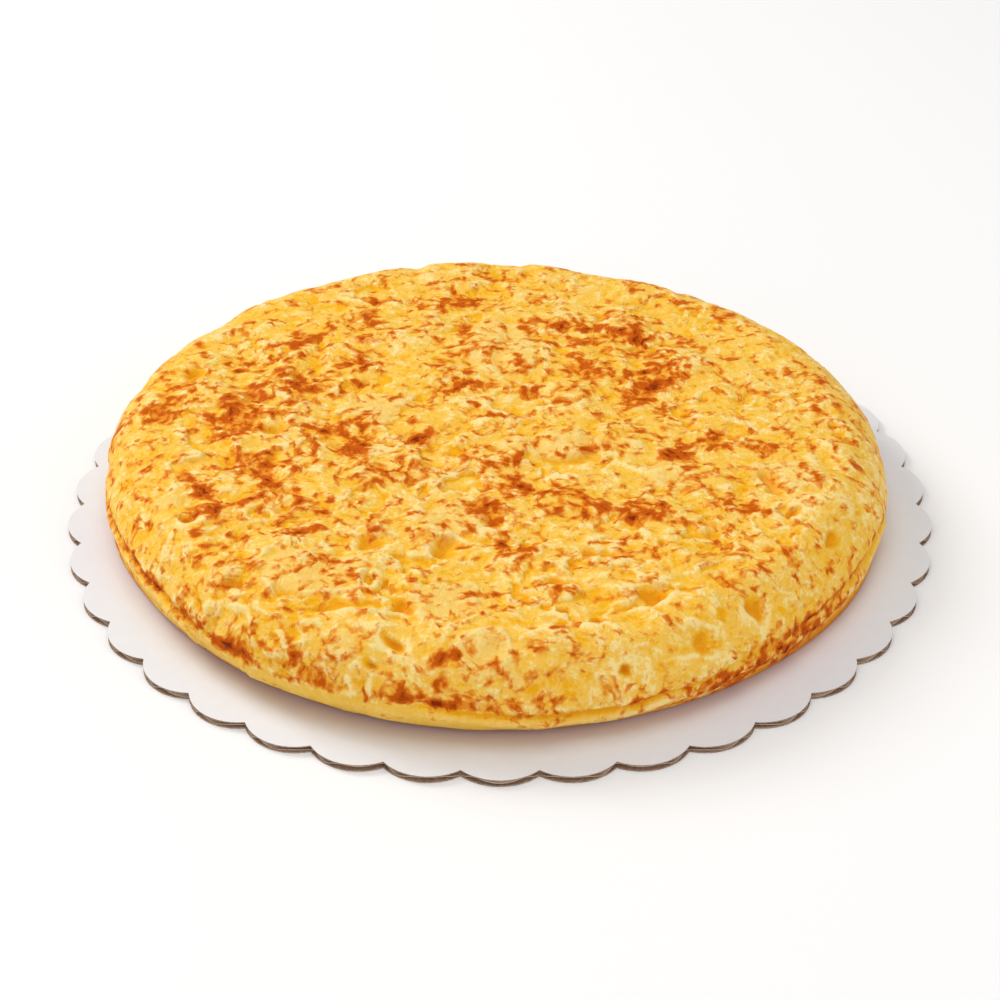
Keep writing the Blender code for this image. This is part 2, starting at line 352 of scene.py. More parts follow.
class Finish:
    """A material under construction, with short ways to add nodes."""

    def __init__(self, name):
        self.material = bpy.data.materials.new(name)
        self.material.use_nodes = True
        self.tree = self.material.node_tree
        self.shader = self.tree.nodes["Principled BSDF"]
        self.place = self.add("TexCoord").outputs["Object"]

    def add(self, kind, **settings):
        """A new shader node of a kind, with its settings."""
        node = self.tree.nodes.new("ShaderNode" + kind)
        for name, value in settings.items():
            setattr(node, name, value)
        return node

    def feed(self, socket, value):
        """Links an output to a socket, or sets the socket to a plain value."""
        if isinstance(value, bpy.types.NodeSocket):
            self.tree.links.new(value, socket)
        else:
            socket.default_value = value

    def math(self, operation, first, second=0.0):
        """One step of arithmetic."""
        node = self.add("Math", operation=operation)
        self.feed(node.inputs[0], first)
        self.feed(node.inputs[1], second)
        return node.outputs[0]

    def plus(self, total, share, value, middle=0.0):
        """A total and a share of a value, which is taken from its middle if that is given."""
        if middle:
            value = self.math("SUBTRACT", value, middle)
        return self.math("ADD", total, self.math("MULTIPLY", value, share))

    def shift(self, place, amount, how_far):
        """Moves a place by a colour's distance from grey, up to how_far."""
        centred = self.add("VectorMath", operation="SUBTRACT")
        self.feed(centred.inputs[0], amount)
        centred.inputs[1].default_value = (0.5, 0.5, 0.5)
        sized = self.add("VectorMath", operation="SCALE")
        self.feed(sized.inputs[0], centred.outputs[0])
        sized.inputs["Scale"].default_value = how_far
        moved = self.add("VectorMath", operation="ADD")
        self.feed(moved.inputs[0], place)
        self.feed(moved.inputs[1], sized.outputs[0])
        return moved.outputs[0]

    def noise(self, size, place=None, detail=2.0, roughness=0.5, seed=0.0, output="Fac"):
        """Cloudy noise whose lumps are about this size."""
        node = self.add("TexNoise")
        moved = self.add("VectorMath", operation="ADD")
        self.feed(moved.inputs[0], place or self.place)
        moved.inputs[1].default_value = (seed, seed, seed)
        self.feed(node.inputs["Vector"], moved.outputs[0])
        node.inputs["Scale"].default_value = 1 / size
        node.inputs["Detail"].default_value = detail
        node.inputs["Roughness"].default_value = roughness
        return node.outputs[output]

    def ramp(self, value, low, high, start=0.0, end=1.0):
        """Start below low, end above high, and a smooth change between them."""
        node = self.add("MapRange", interpolation_type="SMOOTHSTEP")
        self.feed(node.inputs["Value"], value)
        node.inputs["From Min"].default_value = low
        node.inputs["From Max"].default_value = high
        node.inputs["To Min"].default_value = start
        node.inputs["To Max"].default_value = end
        return node.outputs["Result"]

    def mix(self, share, first, second):
        """A blend of two colours, with this share of the second."""
        node = self.add("Mix", data_type="RGBA")
        self.feed(node.inputs["Factor"], share)
        self.feed(node.inputs[6], first)
        self.feed(node.inputs[7], second)
        return node.outputs[2]

    def tint(self, base, value, low, high, colour, most=1.0):
        """Mixes a colour in: none of it where the value is low, and the most of it where high."""
        return self.mix(self.ramp(value, low, high, end=most), base, colour)

    def attribute(self, name):
        """What the mesh keeps under this name."""
        return self.add("Attribute", attribute_name=name).outputs["Fac"]

    def bump(self, height, depth, onto=None):
        """A normal bent by a height, this deep, over another normal if one is given."""
        node = self.add("Bump")
        node.inputs["Distance"].default_value = depth
        self.feed(node.inputs["Height"], height)
        if onto:
            self.feed(node.inputs["Normal"], onto)
        return node.outputs[0]

    def set(self, name, value):
        """Feeds an input of the shader."""
        self.feed(self.shader.inputs[name], value)


def bump(angle, middle, reach):
    """1 at the middle angle, dying away over the reach on both sides."""
    return exp(-((remainder(angle - middle, 2 * pi) / reach) ** 2))


def bumps(angle, places):
    """The sum of bumps (angle, reach, height) at an angle."""
    return sum(height * bump(angle, middle, reach) for middle, reach, height in places)


def plan_share(angle):
    """How the omelette's edge departs from a circle at this angle."""
    oval = OVAL_SHARE * cos(2 * (angle - OVAL_ANGLE))
    trefoil = TREFOIL_SHARE * cos(3 * (angle - TREFOIL_ANGLE))
    return 1 + oval + trefoil - bumps(angle, PLAN_DIPS)


def crown_point(x, y):
    """The smooth surface over a place in plan, before any relief."""
    radius = hypot(x, y) / plan_share(atan2(y, x))
    if radius < SHOULDER_RADIUS:
        return Vector((x, y, SHOULDER_HEIGHT))
    out = min(1, (radius - SHOULDER_RADIUS) / (WIDEST_RADIUS - SHOULDER_RADIUS))
    rise = (1 - out**SHOULDER_ROUNDNESS) ** (1 / SHOULDER_ROUNDNESS)
    height = WIDEST_HEIGHT + (SHOULDER_HEIGHT - WIDEST_HEIGHT) * rise
    return Vector((x, y, height))


def on_crown(x, y):
    """The smooth surface over a place in millimetres from the board's middle."""
    return np.array(crown_point(x * MM - FOOD_CENTRE.x, y * MM - FOOD_CENTRE.y))


def oval_distance(points, x, y, length, width, turn):
    """Each point's distance from the middle of an oval, squared: 1 at the oval's edge."""
    away = points - on_crown(x, y)
    run = np.array((cos(radians(turn)), sin(radians(turn)), 0))
    along = away @ run
    across = np.linalg.norm(away - along[:, None] * run, axis=1)
    return (along / (length * MM / 2)) ** 2 + (across / (width * MM / 2)) ** 2


def spots(points, places, steepness=1.0):
    """The sum of spots (x, y, length, width, turn, strength), in millimetres, at each point."""
    total = np.zeros(len(points))
    for *oval, strength in places:
        total += strength * np.exp(-(oval_distance(points, *oval) ** steepness))
    return total


def waver(points, size, how_far):
    """The points, moved about by noise of this size."""
    shifts = [noise.noise_vector(Vector(point) / size) for point in points]
    return points + np.array(shifts) * how_far


def fold_relief(points):
    """The folds of skin: thin wavy ridges that taper to their ends."""
    waved = waver(points, 5 * MM, 1.6 * MM)
    total = np.zeros(len(points))
    for x1, y1, x2, y2, height in FOLDS:
        start = on_crown(x1, y1)
        run = on_crown(x2, y2) - start
        share = np.clip((waved - start) @ run / (run @ run), -0.1, 1.1)
        away = np.linalg.norm(waved - start - share[:, None] * run, axis=1)
        taper = np.sqrt(np.clip(1 - np.abs(2 * share - 1), 0, 1) + 0.15)
        ridge = FOLD_RISE * height * MM * taper * np.exp(-((away / FOLD_WIDTH) ** 2))
        total = np.maximum(total, ridge)
    return total


def slabs(points, places):
    """1 on the slices (x, y, length, width, turn), 0 off them, and a ragged edge between."""
    cover = np.zeros(len(points))
    ragged = np.array([noise.noise(Vector(point) / (9 * MM)) for point in points])
    for oval in places:
        spread = oval_distance(points, *oval) * (1 + 0.9 * ragged)
        cover = np.maximum(cover, smooth_step(1.5, 0.6, spread))
    return cover


def pit_relief(point):
    """Small pits with a raised lip, where the egg set round bubbles."""
    place = point / PIT_SPACING + 0.3 * noise.noise_vector(point / (4.5 * MM))
    distances, centres = noise.voronoi(place, distance_metric="DISTANCE", exponent=2)
    chance = noise.cell(centres[0] * 5.1)
    if chance > PIT_SHARE:
        return 0
    away = distances[0] * PIT_SPACING / (PIT_RADIUS * (0.6 + chance))
    lip = exp(-(((away - 1.25) / 0.25) ** 2))
    return PIT_DEPTH * (0.25 * lip - float(smooth_step(1.1, 0.3, away)))


def layer_relief(point, angle):
    """Thin layers that lie on each other at the lower right of the rim, 0 to 1."""
    near = bump(angle, LAYERS_ANGLE, LAYERS_REACH)
    near *= exp(-(((point.z - LAYERS_HEIGHT) / LAYERS_SPREAD) ** 2))
    place = Vector((point.x / LAYER_LENGTH, point.y / LAYER_LENGTH, point.z / LAYER_PITCH))
    streak = 1 - 4 * abs(noise.noise(place))
    return near * (0.25 + 0.75 * max(0, streak))


def slice_relief(point):
    """Potato slices under the egg: each leans its own way, with a groove round it."""
    place = point / SLICE_SIZE + 0.35 * noise.noise_vector(point / SLICE_SIZE)
    distances, centres = noise.voronoi(place, distance_metric="DISTANCE", exponent=2)
    plateau = float(smooth_step(0, 0.4, distances[1] - distances[0]))
    lean = noise.cell_vector(centres[0] * 7.3) - Vector((0.5, 0.5, 0.5))
    tilt = lean.dot(place - centres[0])
    return plateau * SLICE_LEAN * 2 * tilt + (plateau - 0.7) * SLICE_GROOVE


def seam_relief(point, angle):
    """The crease where the bottom crust folds up round the foot, which wanders up and down.

    Returns its relief, and how far above the crease the point is, in widths of it.
    """
    turning = Vector((cos(angle), sin(angle), 0))
    wander = noise.noise(turning * 2.3) * SEAM_WANDER + noise.noise(turning * 9) * SEAM_WANDER / 3
    wander += SEAM_LIFT * bump(angle, SEAM_LIFT_ANGLE, SEAM_LIFT_REACH)
    calm = SEAM_CALM * bump(angle, SEAM_CALM_ANGLE, SEAM_CALM_REACH)
    strength = 0.6 + 0.8 * noise.noise(turning * 1.7 + Vector((4, 7, 1)))
    off = (point.z - SEAM_HEIGHT - wander) / SEAM_WIDTH
    roll = exp(-(((off + 2.4) / 1.8) ** 2))
    return strength * SEAM_DEPTH * (0.6 * roll - (1 - calm) * exp(-(off**2))), off


def curd_relief(point):
    """Smooth hollows with short folds of skin between them, calmer towards the right."""
    lean = noise.noise_vector(point / (14 * MM)) * 0.6
    fold = noise.noise(point / FOLD_LENGTH + lean)
    crease = FOLD_MEAN - abs(noise.noise(point / CREASE_LENGTH + lean * 2))
    crease *= 0.3 + 2 * max(0, noise.noise(point / (9 * MM) + Vector((2, 6, 4))))
    curd = noise.noise(point / CURD_LENGTH - lean)
    calm = float(smooth_step(20 * MM, 110 * MM, point.x)) * 0.45
    return (1 - calm) * (FOLD_HEIGHT * fold + CREASE_HEIGHT * crease + CURD_HEIGHT * curd)


def wrinkle_relief(point):
    """Thin broken folds of skin, strongest towards the front left."""
    lean = noise.noise_vector(point / (16 * MM)) * 0.5
    ridge = 1 - abs(noise.noise(point / (11 * MM) + lean)) * 5
    fine = 1 - abs(noise.noise(point / (6 * MM) - lean)) * 4
    across, back = (point.x + 80 * MM) / (65 * MM), (point.y + 80 * MM) / (60 * MM)
    left = exp(-(across**2 + back**2))
    broken = float(smooth_step(-0.1, 0.35, noise.noise(point / (8 * MM) + Vector((7, 3, 5)))))
    strength = (0.25 + 0.75 * left) * broken
    return strength * (1.1 * MM * max(0, ridge) ** 1.5 + 0.5 * MM * max(0, fine) ** 1.5)


def smooth_body():
    """The omelette's mesh with no relief: a top of even triangles, a rim in rows, and a flat foot.

    Returns the object.
    """
    deselect()
    bpy.ops.mesh.primitive_cylinder_add(vertices=SIDES, radius=1, depth=1, location=(0, 0, 0.5))
    wall = bpy.context.object
    bpy.ops.object.mode_set(mode="EDIT")
    bpy.ops.mesh.select_all(action="DESELECT")
    bpy.ops.mesh.select_mode(type="FACE")
    bpy.ops.object.mode_set(mode="OBJECT")
    for face in wall.data.polygons:
        face.select = face.normal.z > 0.5
    bpy.ops.object.mode_set(mode="EDIT")
    bpy.ops.mesh.delete(type="ONLY_FACE")
    bpy.ops.mesh.select_mode(type="EDGE")
    bpy.ops.mesh.select_all(action="DESELECT")
    bpy.ops.object.mode_set(mode="OBJECT")
    heights = coordinates(wall)[:, 2]
    for edge in wall.data.edges:
        edge.select = abs(heights[edge.vertices[0]] - heights[edge.vertices[1]]) > 0.5
    bpy.ops.object.mode_set(mode="EDIT")
    bpy.ops.mesh.subdivide(number_cuts=RIM_ROWS - 1)
    deselect()
    bpy.ops.mesh.primitive_circle_add(vertices=6, radius=1, fill_type="TRIFAN", location=(0, 0, 1))
    top = bpy.context.object
    bpy.ops.object.mode_set(mode="EDIT")
    bpy.ops.mesh.select_all(action="SELECT")
    for cuts in TOP_CUTS:
        bpy.ops.mesh.subdivide(number_cuts=cuts)
    bpy.ops.object.mode_set(mode="OBJECT")
    round_off(top)
    wall.select_set(True)
    bpy.context.view_layer.objects.active = wall
    bpy.ops.object.join()
    bpy.ops.object.transform_apply()
    bpy.ops.object.mode_set(mode="EDIT")
    bpy.ops.mesh.select_all(action="SELECT")
    bpy.ops.mesh.remove_doubles(threshold=0.0005)
    bpy.ops.mesh.normals_make_consistent(inside=False)
    bpy.ops.object.mode_set(mode="OBJECT")
    wall.name = "omelette_crust"
    wall.data.name = "omelette_crust"
    return wall


def round_off(hexagon):
    """Turns a hexagon of even triangles into a disc of rings with even steps."""
    points = coordinates(hexagon)
    angles = np.arctan2(points[:, 1], points[:, 0]) - pi / 2
    sector = np.floor(angles / (pi / 3) + 1e-6)
    start = sector * pi / 3 + pi / 2
    corner = np.stack([np.cos(start), np.sin(start)], 1)
    following = np.stack([np.cos(start + pi / 3), np.sin(start + pi / 3)], 1)
    span = corner[:, 0] * following[:, 1] - corner[:, 1] * following[:, 0]
    near = (points[:, 0] * following[:, 1] - points[:, 1] * following[:, 0]) / span
    far = (corner[:, 0] * points[:, 1] - corner[:, 1] * points[:, 0]) / span
    radius = near + far
    turn = start + pi / 3 * far / np.maximum(radius, 1e-9)
    points[:, 0] = radius * np.cos(turn)
    points[:, 1] = radius * np.sin(turn)
    move_points(hexagon, points)


def rim_profile():
    """The rim's section, top row first: radius, height, and how far it has turned from upright."""
    turns = np.linspace(0, pi / 2, 400)
    reach, rise = WIDEST_RADIUS - SHOULDER_RADIUS, SHOULDER_HEIGHT - WIDEST_HEIGHT
    upper_radius = SHOULDER_RADIUS + reach * np.sin(turns) ** (2 / SHOULDER_ROUNDNESS)
    upper_height = WIDEST_HEIGHT + rise * np.cos(turns) ** (2 / SHOULDER_ROUNDNESS)
    reach = WIDEST_RADIUS - FOOT_RADIUS
    lower_radius = FOOT_RADIUS + reach * np.cos(turns) ** (2 / FOOT_ROUNDNESS)
    lower_height = WIDEST_HEIGHT * (1 - np.sin(turns) ** (2 / FOOT_ROUNDNESS))
    radius = np.concatenate([upper_radius, lower_radius[1:]])
    height = np.concatenate([upper_height, lower_height[1:]])
    facing = np.concatenate([turns, turns[1:] + pi / 2])
    steps = np.hypot(np.diff(radius), np.diff(height))
    steps *= np.where(height[1:] < PLAIN_BELOW, PLAIN_SHARE, 1)
    run = np.concatenate([[0], np.cumsum(steps)])
    even = np.linspace(0, run[-1], RIM_ROWS + 1)
    return [np.interp(even, run, column) for column in (radius, height, facing)]


def shape_body(crust):
    """Gives the smooth body its section and outline. Returns its points and their outward ways."""
    unit = coordinates(crust)
    angles = np.arctan2(unit[:, 1], unit[:, 0])
    shares = np.hypot(unit[:, 0], unit[:, 1])
    on_top = unit[:, 2] > 1 - 0.2 / RIM_ROWS
    rows = np.rint((1 - unit[:, 2]) * RIM_ROWS).astype(int)
    rim_radius, rim_height, rim_facing = rim_profile()
    radius = np.where(on_top, SHOULDER_RADIUS * shares, rim_radius[rows])
    height = np.where(on_top, SHOULDER_HEIGHT + CROWN * (1 - shares**2), rim_height[rows])
    facing = np.where(on_top, 0, rim_facing[rows])
    drawn_in = (WIDEST_RADIUS - radius) / (WIDEST_RADIUS - FOOT_RADIUS)
    below = np.where(height < WIDEST_HEIGHT, drawn_in, 0)
    radius += below * np.array([bumps(angle, FOOT_SPREADS) for angle in angles])
    outline = np.array([plan_share(angle) for angle in angles])
    around = np.stack([np.cos(angles), np.sin(angles), np.zeros(len(angles))], 1)
    points = around * (radius * outline)[:, None]
    points[:, 2] = height
    ways = around * np.sin(facing)[:, None]
    ways[:, 2] = np.cos(facing)
    return points, ways, angles


def surroundings(crust, heights):
    """The heights, smoothed by means of neighbours along the mesh's edges."""
    ends = np.empty(len(crust.data.edges) * 2, np.int64)
    crust.data.edges.foreach_get("vertices", ends)
    first, second = ends.reshape(-1, 2).T
    count = np.bincount(ends, minlength=len(heights))
    for _ in range(CREVICE_ROUNDS):
        total = np.bincount(first, heights[second], len(heights))
        total += np.bincount(second, heights[first], len(heights))
        heights = total / count
    return heights


def steepness(crust, ways):
    """How far the relief turns each point's normal: 0 where it doesn't, 1 at a right angle."""
    normals = np.empty(len(ways) * 3, np.float32)
    crust.data.vertices.foreach_get("normal", normals)
    return 1 - np.sum(normals.reshape(-1, 3) * ways, axis=1)


def swell_relief(point):
    """The broad swells and the lumps on them."""
    swell = SWELL_HEIGHT * noise.noise(point / SWELL_LENGTH)
    return swell + LUMP_HEIGHT * noise.noise(point / LUMP_LENGTH + Vector((9, 2, 5)))


def small_relief(point, smooth):
    """The curds, pits and wrinkles, less on smooth potato, at the rim, far off and in the roll."""
    edge = float(smooth_step(*EDGE_RADII, hypot(point.x, point.y)))
    back = edge * float(smooth_step(-20 * MM, 50 * MM, point.y))
    far = float(smooth_step(-60 * MM, 90 * MM, point.y))
    under = float(smooth_step(WIDEST_HEIGHT, SEAM_HEIGHT - SEAM_WANDER, point.z))
    height = (1 - POTATO_CALM * smooth) * (1 - EDGE_CALM * edge)
    height *= curd_relief(point) + pit_relief(point)
    height += (1 - BACK_CALM * back) * wrinkle_relief(point)
    return height * (1 - FAR_CALM * far) * (1 - UNDER_CALM * under)


def seam_browning(angle, above):
    """The brown line over the seam, the thin one in it, and the paler or browner roll under it."""
    front = 0.5 + 0.9 * noise.noise(Vector((cos(angle), sin(angle), 3)) * 2.6)
    line = exp(-(((above - 1.4) / 1.3) ** 2))
    thin = bump(angle, SEAM_BROWN_ANGLE, SEAM_BROWN_REACH) * exp(-((above - 0.2) ** 2))
    pale = (ROLL_PALE - bumps(angle, ROLL_BROWNED)) * float(smooth_step(0, -1.5, above))
    return front * line + 1.1 * thin - pale


def carve_body(crust):
    """Raises the relief on the smooth body and stores what the crust's material reads."""
    points, ways, angles = shape_body(crust)
    dents = [(x, y, length, width, turn, depth) for x, y, length, width, depth, turn in DENTS]
    pores = [(x, y, width, width, 0, depth) for x, y, width, depth in PORES]
    hollow = spots(waver(points, 6 * MM, 2.4 * MM), dents, 1.4)
    hollow += spots(waver(points, 2.5 * MM, 0.6 * MM), pores, 1.7)
    hollow *= DENT_SHARE * MM
    folds = fold_relief(points)
    potato = slabs(points, PALE)
    seam, large, small, patch, cloud, layers = np.zeros((6, len(points)))
    for i, (place, angle) in enumerate(zip(points, angles)):
        point = Vector(place)
        slices = slice_relief(point)
        calm = 1 - (1 - RIM_CALM) * float(smooth_step(SHOULDER_HEIGHT, WIDEST_HEIGHT, point.z))
        foot = float(smooth_step(SEAM_HEIGHT + 11 * MM, SEAM_HEIGHT + 5 * MM, point.z))
        crease, above = seam_relief(point, angle)
        layers[i] = layer_relief(point, angle)
        large[i] = calm * (swell_relief(point) + slices) - min(0, slices)
        small[i] = small_relief(point, potato[i])
        small[i] += min(0, slices) + foot * crease - hollow[i] + LAYER_HEIGHT * layers[i]
        seam[i] = foot * seam_browning(angle, above)
        patch[i] = noise.noise(point / (17 * MM) + Vector((3, 8, 1)))
        cloud[i] = noise.noise(point / (26 * MM) + Vector((5, 1, 7)))
    small += SLAB_HEIGHT * potato - SLAB_GROOVE * 4 * potato * (1 - potato) + folds
    fade = smooth_step(0, RELIEF_FADE, points[:, 2])
    raised = points + ways * (fade * (large + small))[:, None]
    raised += np.array(FOOD_CENTRE) + np.array((0, 0, BOARD_THICKNESS + RESTING_GAP))
    move_points(crust, raised)
    total = large + small
    # The concavity, steepness, hollow and fold readings also feed the crust's painted shade in creases,
    # hollows and on steep slopes, and its painted highlights on ridges; the under reading feeds its
    # pan-browned underside, darkened further as painted shade by the board.
    readings = {
        "crevice": (surroundings(crust, total) - total) / MM,
        "steep": steepness(crust, ways),
        "browning": np.minimum(spots(points, BROWNED), 1),
        "patch": patch,
        "cloud": cloud,
        "potato": potato,
        "hollow": -small / MM,
        "seam": seam,
        "layers": layers,
        "fold": folds / MM,
        "under": smooth_step(UNDER_BROWN_AND_SHADE_HEIGHT, 0, points[:, 2]),
    }
    for name, values in readings.items():
        store(crust, name, values)


def crust_finish(settings):
    """Golden egg with pale potato, and warped streaks and fragments of browning, with painted shade in
    hollows, creases, on steep slopes and under the rim, and painted highlights on ridges and folds.
    """
    finish = Finish("egg_crust")
    wide = finish.noise(14 * MM, output="Color", detail=1, seed=1)
    fine = finish.noise(3 * MM, output="Color", detail=2, seed=2)
    bent = finish.shift(finish.place, wide, 8 * MM)
    curled = finish.shift(bent, fine, 1.4 * MM)
    hollow = finish.attribute("hollow")
    crevice = finish.attribute("crevice")
    pebble = finish.noise(2.4 * MM, bent, detail=3, roughness=0.6, seed=9)
    grain = finish.noise(1.1 * MM, detail=2, seed=11)

    tone = finish.noise(5 * MM, curled, detail=4, roughness=0.6, seed=3)
    tone = finish.math("ADD", finish.math("MULTIPLY", tone, 0.65), 0.17)
    tone = finish.plus(tone, 0.10, finish.attribute("cloud"))
    # Painted highlight and shade that follow the bump: the pebble noise, which also bends the normal
    # below, makes its raised bits paler and its low bits deeper.
    tone = finish.plus(tone, 0.6, pebble, middle=0.5)
    tone = finish.plus(tone, 0.4, grain, middle=0.5)
    # Painted shade: the tone goes deeper in hollows and creases, and paler on ridges as a painted
    # highlight.
    tone = finish.plus(tone, -0.02, hollow)
    tone = finish.plus(tone, -0.35, crevice)
    base = finish.tint(settings.deep_egg_and_shade, tone, 0.28, 0.45, settings.egg)
    base = finish.tint(base, tone, 0.47, 0.69, settings.pale_egg_and_highlight)
    base = finish.tint(base, finish.attribute("potato"), 0.2, 0.9, settings.potato, most=0.5)
    # Painted shade: deeper egg in the deep hollows, dents and pits.
    base = finish.tint(base, hollow, 1.5, 3.4, settings.deep_egg_and_shade, most=0.45)
    # Painted shade: deeper egg on the steep slopes of the relief.
    base = finish.tint(base, finish.attribute("steep"), 0.05, 0.25, settings.deep_egg_and_shade, most=0.4)
    # Painted shade: a toasted tint in the creases.
    base = finish.tint(base, crevice, 0.25, 0.9, settings.toasted_and_shade, most=0.35)
    # Painted highlight: pale egg along the thin fold ridges.
    base = finish.tint(base, finish.attribute("fold"), 0.2, 0.8, settings.pale_egg_and_highlight, most=0.65)
    roll = finish.ramp(finish.attribute("seam"), -0.42, -0.1, start=0.65, end=0.0)
    base = finish.mix(roll, base, settings.egg)
    # The underside is browned from the pan; its lowest band is darkened further as painted shade where it
    # meets the board.
    under = finish.attribute("under")
    base = finish.tint(base, under, 0.0, 0.7, settings.toasted_and_shade, most=0.8)
    base = finish.tint(base, under, 0.5, 1.0, settings.browned, most=0.6)

    fragment = finish.noise(4 * MM, curled, detail=2.5, roughness=0.5, seed=5)
    cluster = finish.noise(13 * MM, bent, detail=1, seed=7)
    line = finish.noise(6 * MM, curled, detail=1, seed=6)
    line = finish.math("ABSOLUTE", finish.math("SUBTRACT", line, 0.5))
    vein = finish.ramp(line, 0.0, 0.06, start=1.0, end=0.0)
    heat = finish.math("MULTIPLY", finish.math("SUBTRACT", fragment, 0.5), settings.crumble)
    heat = finish.plus(heat, 0.7, cluster, middle=0.56)
    heat = finish.plus(heat, 0.62, finish.attribute("browning"))
    heat = finish.plus(heat, 0.25, finish.attribute("patch"))
    heat = finish.plus(heat, 0.2, vein)
    heat = finish.plus(heat, -0.12, hollow)
    heat = finish.plus(heat, 0.85, finish.attribute("layers"))
    heat = finish.plus(heat, 0.6, finish.attribute("seam"))
    heat = finish.plus(heat, -0.2, finish.attribute("fold"))
    colour = finish.tint(base, heat, -0.1, 0.40, settings.toasted_and_shade)
    colour = finish.tint(colour, heat, 0.32, 0.60, settings.browned)
    colour = finish.tint(colour, heat, 0.7, 1.2, settings.charred)
    finish.set("Base Color", colour)
    finish.set("Roughness", 0.5)
    finish.set("Specular IOR Level", 0.03)
    finish.set("Subsurface Weight", 0.35)
    finish.set("Subsurface Radius", (1.0, 0.4, 0.1))
    finish.set("Subsurface Scale", 0.002)
    finish.set("Normal", finish.bump(grain, 0.25 * MM, onto=finish.bump(pebble, 0.9 * MM)))
    return finish.material


def scalloped_outline(inset=0.0):
    """The board's outline: shallow arcs that meet in notches, one of them facing -Y."""
    cusp_radius, tip_radius = CUSP_DIAMETER / 2, BOARD_DIAMETER / 2
    half_chord = cusp_radius * sin(pi / SCALLOPS)
    bulge = tip_radius - cusp_radius * cos(pi / SCALLOPS)
    arc_radius = (half_chord**2 + bulge**2) / (2 * bulge)
    reach = asin(half_chord / arc_radius)
    points = []
    for scallop in range(SCALLOPS):
        middle = 2 * pi * scallop / SCALLOPS - pi / 2
        centre = Vector((cos(middle), sin(middle), 0)) * (tip_radius - arc_radius)
        for step in range(SCALLOP_STEPS):
            turn = middle + reach * (2 * step / SCALLOP_STEPS - 1)
            points.append(centre + Vector((cos(turn), sin(turn), 0)) * (arc_radius - inset))
    return points


def add_plate(name, low, high, inset=0.0):
    """A scalloped plate between two heights, from a circle whose points take the board's outline."""
    deselect()
    outline = scalloped_outline(inset)
    bpy.ops.mesh.primitive_circle_add(vertices=len(outline), radius=1, fill_type="NGON")
    plate = bpy.context.object
    plate.name = plate.data.name = name
    turns = [atan2(p.y, p.x) % (2 * pi) for p in outline]
    points = coordinates(plate)
    order = np.argsort(np.arctan2(points[:, 1], points[:, 0]) % (2 * pi))
    for index, i in zip(order, np.argsort(turns)):
        points[index] = (outline[i].x, outline[i].y, low)
    move_points(plate, points)
    bpy.ops.object.mode_set(mode="EDIT")
    bpy.ops.mesh.select_all(action="SELECT")
    bpy.ops.mesh.extrude_region_move(TRANSFORM_OT_translate={"value": (0, 0, high - low)})
    bpy.ops.mesh.select_all(action="SELECT")
    bpy.ops.mesh.normals_make_consistent(inside=False)
    bpy.ops.object.mode_set(mode="OBJECT")
    return plate


def add_flutes():
    """The waved paper: one sheet bent into flutes along X, trimmed to the board's outline."""
    deselect()
    rows = int(BOARD_DIAMETER / FLUTE_PITCH + 1) * FLUTE_STEPS
    bpy.ops.mesh.primitive_grid_add(x_subdivisions=1, y_subdivisions=rows, size=1)
    sheet = bpy.context.object
    sheet.name = sheet.data.name = "board_flutes"
    points = coordinates(sheet)
    swing = BOARD_THICKNESS / 2 - LINER_THICKNESS - MEDIUM_THICKNESS / 2
    span = rows / FLUTE_STEPS * FLUTE_PITCH
    points[:, 1] *= span
    points[:, 0] *= 1.2 * BOARD_DIAMETER
    points[:, 2] = BOARD_THICKNESS / 2 - swing * np.cos(2 * pi * points[:, 1] / FLUTE_PITCH)
    move_points(sheet, points)
    wall = sheet.modifiers.new("paper", "SOLIDIFY")
    wall.thickness = MEDIUM_THICKNESS
    wall.offset = 0
    bpy.ops.object.modifier_apply(modifier=wall.name)
    trim = add_plate("flute_trim", 0, BOARD_THICKNESS, inset=0.25 * MM)
    select_only(sheet)
    cut = sheet.modifiers.new("trim", "BOOLEAN")
    cut.operation = "INTERSECT"
    cut.object = trim
    bpy.ops.object.modifier_apply(modifier=cut.name)
    bpy.data.objects.remove(trim)
    return sheet


def facing_finish(settings):
    """Clay-coated white paper with a faint mottle."""
    finish = Finish("white_facing")
    mottle = finish.noise(6 * MM, detail=4, seed=1)
    colour = finish.tint(settings.facing, mottle, 0.3, 0.7, settings.facing_shade, most=0.25)
    finish.set("Base Color", colour)
    finish.set("Roughness", 0.5)
    finish.set("Normal", finish.bump(finish.noise(0.7 * MM, detail=3), 0.02 * MM))
    return finish.material


def kraft_finish(settings, name, shade):
    """Raw brown paper with short darker fibres."""
    finish = Finish(name)
    fibre = finish.noise(0.9 * MM, detail=4, roughness=0.7)
    finish.set("Base Color", finish.tint(settings.kraft, fibre, 0.35, 0.65, shade))
    finish.set("Roughness", 0.85)
    finish.set("Normal", finish.bump(fibre, 0.06 * MM))
    return finish.material


def colour_property(name, description, default):
    """A colour setting."""
    return bpy.props.FloatVectorProperty(
        name=name, description=description, default=default, size=4, subtype="COLOR", min=0, max=1
    )


def strength_property(name, description, default):
    """A light's strength."""
    return bpy.props.FloatProperty(name=name, description=description, default=default, min=0)


